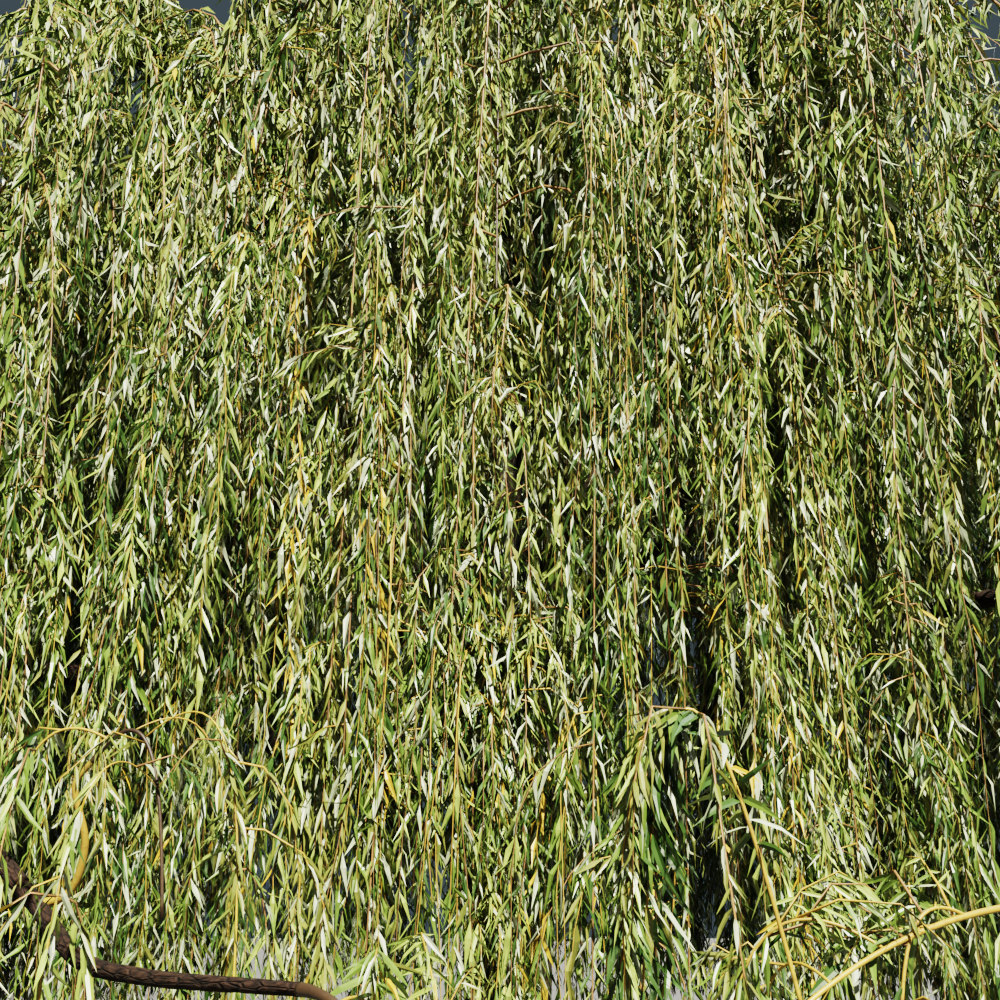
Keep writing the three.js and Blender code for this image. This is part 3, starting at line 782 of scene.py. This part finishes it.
def shoot_of(mass, cane, k, j, rises=(-15, 35), lengths=(1.2, 3.0), span=(0.12, 0.85)):
    """The j-th shoot of the k-th cane. Those after the source's own come in ropes of four that
    leave the cane together and hang side by side."""
    keys = (mass["number"], k, j)
    own = j < OWN_SHOOTS
    reach = SHOOT_REACH if own else FINER_SHOOT_REACH
    rope = keys if own else (*keys[:2], ROPE_KEY + j // ROPE)
    if j < SPRIG_KEY and j // ROPE % HEM_ROPES == 1:
        span = HEM_ROPE_SPAN
    station = cane["length"] * between(span, dice(*rope, OUTWARD))
    azimuth = 360 * dice(*rope, TURN)
    bend = between(reach, dice(*rope, REACH))
    if not own:
        station = min(station + ROPE_SPACING * (j % ROPE), cane["length"])
        spread = FRONT_ROPE_SPREAD if mass["number"] in FRONT else ROPE_SPREAD
        azimuth += sway(spread[0], *keys, TURN)
        bend *= 1 + sway(spread[1], *keys, REACH)
    rise = between(rises, dice(*keys, RISE))
    shoot = {
        "start": place_on(cane, station)[0], "heading": pointing(azimuth, rise),
        "plumb": plumb_line(*keys), "bend": bend / math.cos(math.radians(rise)),
        "radii": (SHOOT_ROOT_RADIUS, TIP_RADIUS),
    }
    length = between(lengths, dice(*keys, END))
    return {**shoot, "length": min(length, length_to(shoot, mass["hem"]))}


SHOOTS_ON_CREST = 9
SHOOTS_ON_TIER = 3
TIER_KEY = 400  # the number of the first of the canes that the photograph shows
STEM_KEY = 900  # the number that the stem's own shoots have in place of a cane's
SHOOTS_ON_STEM = 21
SPRIG_SHAPE = ((5, 60), (0.25, 0.7), (0.03, 0.5))  # their rises, lengths and span of the cane
for mass in masses:
    stem = stem_of(mass)
    canes = [given_cane(stem, shown) for shown in mass.get("given", [])]
    canes += [cane_of(mass, stem, k) for k in range(mass["canes"])]
    canes = [fitted(mass, cane) for cane in canes]
    crest = [fitted(mass, crest_of(mass, stem, k)) for k in range(mass["crest"])]
    tier = [fitted(mass, given_cane(stem, shown)) for shown in mass.get("tier", [])]
    hosts = [(k, cane, mass["shoots"]) for k, cane in enumerate(canes)]
    hosts += [(CREST_KEY + k, cane, SHOOTS_ON_CREST) for k, cane in enumerate(crest)]
    hosts += [
        (TIER_KEY + k, cane, mass["tier"][k].get("shoots", SHOOTS_ON_TIER)) for k, cane in enumerate(tier)
    ]
    shoots = []
    sprigs = []
    for k, cane, count in hosts + [(STEM_KEY, stem, 0 if mass["low"] else SHOOTS_ON_STEM)]:
        if cane is None:
            continue
        shoots += [fitted(mass, shoot_of(mass, cane, k, j)) for j in range(count)]
        sprigs += [
            fitted(mass, shoot_of(mass, cane, k, SPRIG_KEY + j, *SPRIG_SHAPE))
            for j in range(mass["sprigs"])
        ]
    mass["stem"] = stem
    mass["canes"] = [cane for cane in canes + crest if cane]
    mass["shoots"] = [shoot for shoot in shoots + tier if shoot]
    mass["sprigs"] = [sprig for sprig in sprigs if sprig]

WAVE_REACH = 0.024  # how far a hanging shoot strays from its line
WAVE_LENGTHS = (0.8, 1.6)


def bundle(twigs, growth):
    """Twigs as arrays, one row for each, with the slight waves that each hangs in."""
    count = len(twigs)
    rows = {name: np.array([twig[name] for twig in twigs], float) for name in twigs[0]}
    turns = growth.uniform(0, 2 * math.pi, count)
    rows["stray"] = WAVE_REACH * np.column_stack([np.cos(turns), np.sin(turns), np.zeros(count)])
    rows["wave"] = growth.uniform(*WAVE_LENGTHS, count)
    return rows


def places_on(twigs, rows, lengths):
    """Where the twigs of those rows are at lengths along them, and the way that they go there."""
    bend = twigs["bend"][rows]
    kept = np.exp(-lengths / bend)
    turned = bend * (1 - kept)
    wave = np.sin(2 * math.pi * lengths / twigs["wave"][rows])[..., None]
    places = twigs["start"][rows] + twigs["heading"][rows] * turned[..., None]
    places += twigs["plumb"][rows] * (lengths - turned)[..., None] + twigs["stray"][rows] * wave
    ways = twigs["heading"][rows] * kept[..., None] + twigs["plumb"][rows] * (1 - kept)[..., None]
    return places, unit(ways)


def joined_mesh(name, corners, faces, material, slot, nodes, smooth=True):
    """One piece made of many like ones: corners (ones, points, 3), and the faces that all share."""
    ones, points = corners.shape[:2]
    triangles = (faces + points * np.arange(ones)[:, None, None]).ravel()
    count = len(triangles) // 3
    mesh = bpy.data.meshes.new(name)
    mesh.vertices.add(ones * points)
    mesh.vertices.foreach_set("co", corners.astype(np.float32).ravel())
    mesh.loops.add(len(triangles))
    mesh.loops.foreach_set("vertex_index", triangles.astype(np.int32))
    mesh.polygons.add(count)
    mesh.polygons.foreach_set("loop_start", np.arange(0, len(triangles), 3, dtype=np.int32))
    mesh.polygons.foreach_set("use_smooth", np.full(count, smooth))
    mesh.update(calc_edges=True)
    mesh.materials.append(material)
    piece = bpy.data.objects.new(name, mesh)
    bpy.context.collection.objects.link(piece)
    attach(piece, "root")
    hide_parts(*nodes)


RING_CROWDING = 1.4  # a tube's rings stand closer where the twig arches over
THINNING = 1.8  # a twig loses most of its girth in its first part
STEM_THINNING = 4
RINGS = {"stem": 36, "canes": 30, "shoots": 9, "sprigs": 4}
COARSE_RINGS = {"canes": 15, "shoots": 5, "sprigs": 3}  # of the masses behind


def ring_shares(rings):
    return np.linspace(0, 1, rings) ** RING_CROWDING


def ring_places(twigs, rings):
    rows = np.arange(len(twigs["length"]))[:, None]
    return places_on(twigs, rows, ring_shares(rings)[None] * twigs["length"][:, None])


def tube_corners(twigs, sides, rings, thinning=THINNING):
    """The corners and faces of closed tapering tubes round the twigs."""
    count = len(twigs["length"])
    places, ways = ring_places(twigs, rings)
    across = unit(np.cross(twigs["heading"], twigs["plumb"]))
    across = np.broadcast_to(across[:, None], ways.shape)
    over = np.cross(ways, across)
    angles = 2 * math.pi * np.arange(sides) / sides
    thinned = 1 - (1 - ring_shares(rings)) ** thinning
    radii = between((twigs["radii"][:, :1], twigs["radii"][:, 1:]), thinned)
    out = across[:, :, None] * np.cos(angles)[:, None] + over[:, :, None] * np.sin(angles)[:, None]
    corners = places[:, :, None] + out * radii[:, :, None, None]
    faces = []
    for ring in range(rings - 1):
        for side in range(sides):
            a = ring * sides + side
            b = ring * sides + (side + 1) % sides
            faces += [(a, b, b + sides), (a, b + sides, a + sides)]
    last = (rings - 1) * sides
    for side in range(1, sides - 1):
        faces += [(0, side + 1, side), (last, last + side, last + side + 1)]
    return corners.reshape(count, rings * sides, 3), np.array(faces)


STEM_TIP = 0.004  # drawn finer at its end than in the solids
CANE_SLIMNESS = 0.65
all_nodes = [mass["name"] for mass in masses]
stem_bark = twig_finish("stem_bark", "40301F", "2B1F15", "170F09")
brown_twig_bark = twig_finish("brown_twig_bark", "8D6A42", "5E4429", "33220F")
for name, grown, bark, slot in (
    ("stems", masses[:-1], stem_bark, "bough_bark"),
    ("low_right_stem", masses[-1:], golden_bark, "golden_shoots"),
):
    stems = bundle([mass["stem"] for mass in grown], np.random.default_rng(SEED))
    stems["stray"] *= 0
    stems["radii"][:, 1] = STEM_TIP
    stem_tubes = tube_corners(stems, sides=8, rings=RINGS["stem"], thinning=STEM_THINNING)
    joined_mesh(name, *stem_tubes, bark, slot, [mass["name"] for mass in grown])

EYE = np.array([0, -8, 1.6])  # of the photographer
FINE_RANGE = 4.9  # twigs nearer than this to it are shaped more finely
BROWN_SHARE = 0.4  # of the twigs


def chosen(twigs, mask):
    return {name: values[mask] for name, values in twigs.items()}


def gathered(parts):
    return {name: np.concatenate([part[name] for part in parts]) for name in parts[0]}


for mass in masses:
    for kind in ("canes", "shoots", "sprigs"):
        twigs = bundle(mass[kind], mass["growth"])
        twigs["brown"] = mass["growth"].random(len(twigs["length"])) < BROWN_SHARE
        if kind == "canes":
            twigs["stray"] *= 0
            twigs["radii"][:, 0] *= CANE_SLIMNESS
        middles = places_on(twigs, np.arange(len(twigs["length"])), twigs["length"] / 2)[0]
        near = (np.linalg.norm(middles - EYE, axis=1) < FINE_RANGE) | mass["low"]
        mass["front"][kind] = chosen(twigs, near)
        mass["behind"][kind] = chosen(twigs, ~near)
low_canes = gathered([mass["front"]["canes"] for mass in masses if mass["low"]])
low_nodes = [mass["name"] for mass in masses if mass["low"]]
low_tubes = tube_corners(low_canes, sides=6, rings=RINGS["canes"])
joined_mesh("low_canes", *low_tubes, golden_bark, "golden_shoots", low_nodes)
high_canes = gathered([
    mass[place]["canes"] for mass in masses if not mass["low"] for place in ("front", "behind")
])
high_tubes = tube_corners(high_canes, sides=4, rings=COARSE_RINGS["canes"])
joined_mesh("canes", *high_tubes, brown_twig_bark, "brown_twigs", all_nodes)
for place, all_rings in (("front", RINGS), ("behind", COARSE_RINGS)):
    for kind in ("shoots", "sprigs"):
        twigs = gathered([mass[place][kind] for mass in masses])
        golden = tube_corners(chosen(twigs, ~twigs["brown"]), sides=3, rings=all_rings[kind])
        brown = tube_corners(chosen(twigs, twigs["brown"]), sides=3, rings=all_rings[kind])
        joined_mesh(f"golden_{kind}_{place}", *golden, golden_bark, "golden_shoots", all_nodes)
        joined_mesh(f"brown_{kind}_{place}", *brown, brown_twig_bark, "brown_twigs", all_nodes)


# The leaves: long narrow blades, finely pointed, that droop along every shoot on short stalks,
# glossy green above and silvery beneath, a few already yellow. Each shoot's leaves lean to one
# tint, and towards the crown's top more of them get the pale fresh tint as painted sunlight. Those
# near the photograph's eye are shaped more finely than the rest.
LEAF_SPACING = 0.0235
LEAST_SPACING = 0.8  # share of that, of the smallest leaves
LEAF_TURN = math.radians(137.5)
FIRST_LEAF = {"shoots": 0.06, "sprigs": 0.03, "canes": 0.3}
LEAF_LENGTH = (0.085, 0.145)
LEAF_WIDTH = 0.145  # share of the length
SPRAY_SIZE = (0.6, 1.15)  # some shoots have smaller leaves, closer together
SPACING_JITTER = 0.3
TURN_JITTER = 0.5
LEAF_WEIGHT = 0.9  # how strongly a leaf's weight and its spread turn it from its twig's own way
LEAF_SPREAD = (0.2, 1.25)
SPREAD_STRENGTH = 1.6
LEAF_ROLL = math.radians(65)
DROOP = (0.0, 0.55)
CURL = 0.26
YOUNG_END = 0.35  # length at a shoot's end where the leaves are not full grown
GROWN = (0.45, 1)  # share of the full size, from the shoot's tip on
LEAF_COLOURS = {
    "fresh": ("889652", "687735", 0.36),
    "mid": ("5A702E", "42561F", 0.34),
    "deep": ("37501F", "243A14", 0.32),
    "olive": ("6D6E33", "505924", 0.38),
    "yellow": ("AA9034", "957626", 0.42),
    "silver": ("979E86", "737D61", 0.42),
}
TINTS = list(LEAF_COLOURS)
SPRAY_SHARES = [0.25, 0.3, 0.18, 0.25, 0.02]  # chances of the tints, for a shoot
KEEP_TINT = 0.72  # share of the leaves that have their shoot's tint
SILVER_SHARE = 0.17
# Painted sunlight: towards the crown's top a growing share of the leaves gets the pale fresh tint, so the
# top looks lit.
PAINTED_SUN_SHARE = 0.45  # of the leaves at the top, paler in the sun
PAINTED_SUN_FROM = 4.2
PAINTED_SUN_RANGE = 2.0
STRAY_SHARES = [0.25, 0.33, 0.18, 0.2, 0.04]  # for one leaf among others

# A blade has stations (share of the length, and of the half width there), whether it has corners
# on its midrib too, and the faces between its corners.
PLAIN_BLADE = ([(0.38, 1.0)], False, np.array([(0, 1, 3), (0, 3, 2)]))
FOLDED_BLADE = ([(0.38, 1.0)], True, np.array([(0, 1, 2), (0, 2, 3), (1, 4, 2), (2, 4, 3)]))
FINE_BLADE = ([(0.23, 0.88), (0.58, 0.8)], True, np.array([
    (0, 1, 2), (0, 2, 3), (1, 4, 5), (1, 5, 2), (2, 5, 6), (2, 6, 3), (4, 7, 5), (5, 7, 6),
]))
FOLD = 0.35  # how far a blade's edges stand up from its midrib, as a share of the half width


def leaves_on(mass, place, kind, scale, sparseness):
    """Where and how the leaves on a mass's twigs grow, as arrays with one row for each leaf."""
    growth = mass["growth"]
    twigs = mass[place][kind]
    fine = place == "front" and (mass["low"] or kind != "canes")
    rings = (RINGS if fine else COARSE_RINGS)[kind]
    full = twigs["length"]
    spray_size = scale * growth.uniform(*SPRAY_SIZE, len(full))
    spacing = LEAF_SPACING * sparseness * np.maximum(spray_size / scale, LEAST_SPACING)
    counts = np.maximum((full - FIRST_LEAF[kind]) / spacing, 0).astype(int)
    rows = np.repeat(np.arange(len(counts)), counts)
    spacing = spacing[rows]
    order = np.arange(len(rows)) - np.repeat(np.cumsum(counts) - counts, counts)
    total = len(rows)
    lengths = FIRST_LEAF[kind] + (order + growth.uniform(-SPACING_JITTER, SPACING_JITTER, total)) * spacing
    ways = places_on(twigs, rows, lengths)[1]
    drawn = ring_places(twigs, rings)[0]
    rings_before = (lengths / full[rows]) ** (1 / RING_CROWDING) * (rings - 1)
    ring = np.clip(rings_before.astype(int), 0, rings - 2)
    stops = ring_shares(rings)
    part = (lengths / full[rows] - stops[ring]) / (stops[ring + 1] - stops[ring])
    roots = between((drawn[rows, ring], drawn[rows, ring + 1]), part[:, None])
    starts = growth.uniform(0, 2 * math.pi, len(counts))[rows]
    turns = starts + LEAF_TURN * order + growth.uniform(-TURN_JITTER, TURN_JITTER, total)
    side = np.column_stack([np.cos(turns), np.sin(turns), np.zeros(total)])
    spread = growth.uniform(*LEAF_SPREAD, total)[:, None]
    pointed = unit(ways + DOWN * LEAF_WEIGHT + SPREAD_STRENGTH * side * spread)
    upper = unit(side - pointed * (side * pointed).sum(1)[:, None])
    across = np.cross(upper, pointed)
    roll = growth.uniform(-LEAF_ROLL, LEAF_ROLL, total)[:, None]
    normal = upper * np.cos(roll) + across * np.sin(roll)
    across = np.cross(normal, pointed)
    youth = np.clip((full[rows] - lengths) / YOUNG_END, 0, 1)
    size = spray_size[rows] * growth.uniform(*LEAF_LENGTH, total) * between(GROWN, youth)
    drooping = DOWN - pointed * (pointed @ DOWN)[:, None]
    bow = drooping * growth.uniform(*DROOP, total)[:, None]
    bow += normal * growth.normal(0, CURL, total)[:, None]
    bow += across * growth.normal(0, CURL / 2, total)[:, None]
    spray = growth.choice(len(SPRAY_SHARES), len(counts), p=SPRAY_SHARES)[rows]
    stray = growth.choice(len(STRAY_SHARES), total, p=STRAY_SHARES)
    tint = np.where(growth.random(total) < KEEP_TINT, spray, stray)
    tint = np.where(growth.random(total) < SILVER_SHARE, TINTS.index("silver"), tint)
    # Painted sunlight: the higher a leaf, the likelier it is given the pale fresh tint.
    painted_sun = PAINTED_SUN_SHARE * np.clip((roots[:, 2] - PAINTED_SUN_FROM) / PAINTED_SUN_RANGE, 0, 1)
    tint = np.where(growth.random(total) < painted_sun, TINTS.index("fresh"), tint)
    tips = roots + (pointed + bow) * size[:, None]
    kept = clear(mass, tips, 0, margin=0, clearance=0.01) & clear(mass, roots, 0, margin=0, clearance=0)
    found = {
        "root": roots, "pointed": pointed, "normal": normal, "across": across, "bow": bow,
        "size": size, "tint": tint,
    }
    return chosen(found, kept)


def blade_corners(leaves, stations, keeled):
    """The corners of blades: their root, the edges at each station, with the midrib between them
    where the blade is keeled, and their tip."""
    size = leaves["size"][:, None]
    half = size * LEAF_WIDTH / 2
    corners = [leaves["root"]]
    for share, width in stations:
        middle = leaves["root"] + size * (leaves["pointed"] * share + leaves["bow"] * share**2)
        edge = leaves["across"] * half * width
        lift = leaves["normal"] * half * width * FOLD
        midrib = [middle] if keeled else []
        corners += [middle - edge + lift, *midrib, middle + edge + lift]
    corners.append(leaves["root"] + size * (leaves["pointed"] + leaves["bow"]))
    return np.stack(corners, axis=1)


WAX = 0.6  # a leaf's gloss


def leaf_finish(name, pale, full, rough):
    """A leaf tint: two near shades that change from spray to spray and leaf to leaf, waxy."""
    material, shader, place = new_finish(name)
    sprays = place.spots(2.2, 2.0)
    leaves = place.spots(26.0, 2.0)
    share = (sprays * 0.8 + leaves * 1.6 - 0.7).clamped()
    lay(share.blend(paint(full), paint(pale)), shader, "Base Color")
    lay(rough + leaves * 0.16, shader, "Roughness")
    shader.inputs["Specular IOR Level"].default_value = WAX
    return material


# Each group of leaves: the masses it grows on, their twigs before or behind, the blade, its size
# and the distance along the twig. Where fewer leaves stand for more, they are larger.
LEAF_GROUPS = {
    "near": (FRONT, "front", FOLDED_BLADE, 1, 0.95),
    "low": (range(15, 18), "front", FINE_BLADE, 0.75, 0.8),
    "inside": (FRONT, "behind", PLAIN_BLADE, 1.12, 1.4),
    "far": (range(8, 14), "behind", PLAIN_BLADE, 1.4, 1.5),
    "crown": (range(6), "behind", PLAIN_BLADE, 1.4, 1.5),
}
leaf_finishes = {tint: leaf_finish(f"{tint}_leaves", *look) for tint, look in LEAF_COLOURS.items()}
for group, (numbers, place, (stations, keeled, faces), scale, sparseness) in LEAF_GROUPS.items():
    members = [mass for mass in masses if mass["number"] in numbers]
    leaves = gathered([
        leaves_on(mass, place, kind, scale, sparseness)
        for mass in members for kind in ("shoots", "sprigs", "canes")
    ])
    for number, tint in enumerate(TINTS):
        corners = blade_corners(chosen(leaves, leaves["tint"] == number), stations, keeled)
        joined_mesh(
            f"leaves_{tint}_{group}", corners, faces, leaf_finishes[tint], f"leaves_{tint}",
            [mass["name"] for mass in members], smooth=False,
        )


# The studio: a matt floor, a sun-like key light from above the camera's right shoulder, a weak wide
# one from behind the tree on the right, and a dim blue-grey surround.
bpy.ops.mesh.primitive_plane_add(size=60, location=(0, 0, -0.002))
floor = bpy.context.object
floor.name = "floor"
floor_finish, floor_shader = new_finish("pale_floor")[:2]
floor_shader.inputs["Base Color"].default_value = (0.075, 0.074, 0.07, 1)
floor_shader.inputs["Roughness"].default_value = 0.9
floor.data.materials.append(floor_finish)

for energy, colour, width, tilt, turn in (
    (17.0, (1.0, 0.94, 0.82), 2, 44, 14),
    (3.5, (0.85, 0.92, 1.0), 60, 50, 145),
):
    bpy.ops.object.light_add(type="SUN", location=(0, 0, 12))
    sun = bpy.context.object
    sun.data.energy = energy
    sun.data.color = colour
    sun.data.angle = math.radians(width)
    sun.rotation_euler = (math.radians(tilt), 0, math.radians(turn))

world = bpy.data.worlds.new("studio")
bpy.context.scene.world = world
world.use_nodes = True
surround = world.node_tree.nodes["Background"].inputs
surround["Color"].default_value = (0.31, 0.4, 0.46, 1)
surround["Strength"].default_value = 0.19
bpy.context.scene.view_settings.view_transform = "Filmic"
bpy.context.scene.view_settings.look = "High Contrast"


# The camera, at the photographer's eye and tilted up, 8 m in front of the trunk.
TILT = 18
bpy.ops.object.camera_add(location=tuple(EYE), rotation=(math.radians(90 + TILT), 0, 0))
camera = bpy.context.object
camera.data.sensor_width = 36
camera.data.lens = 42.4
bpy.context.scene.camera = camera
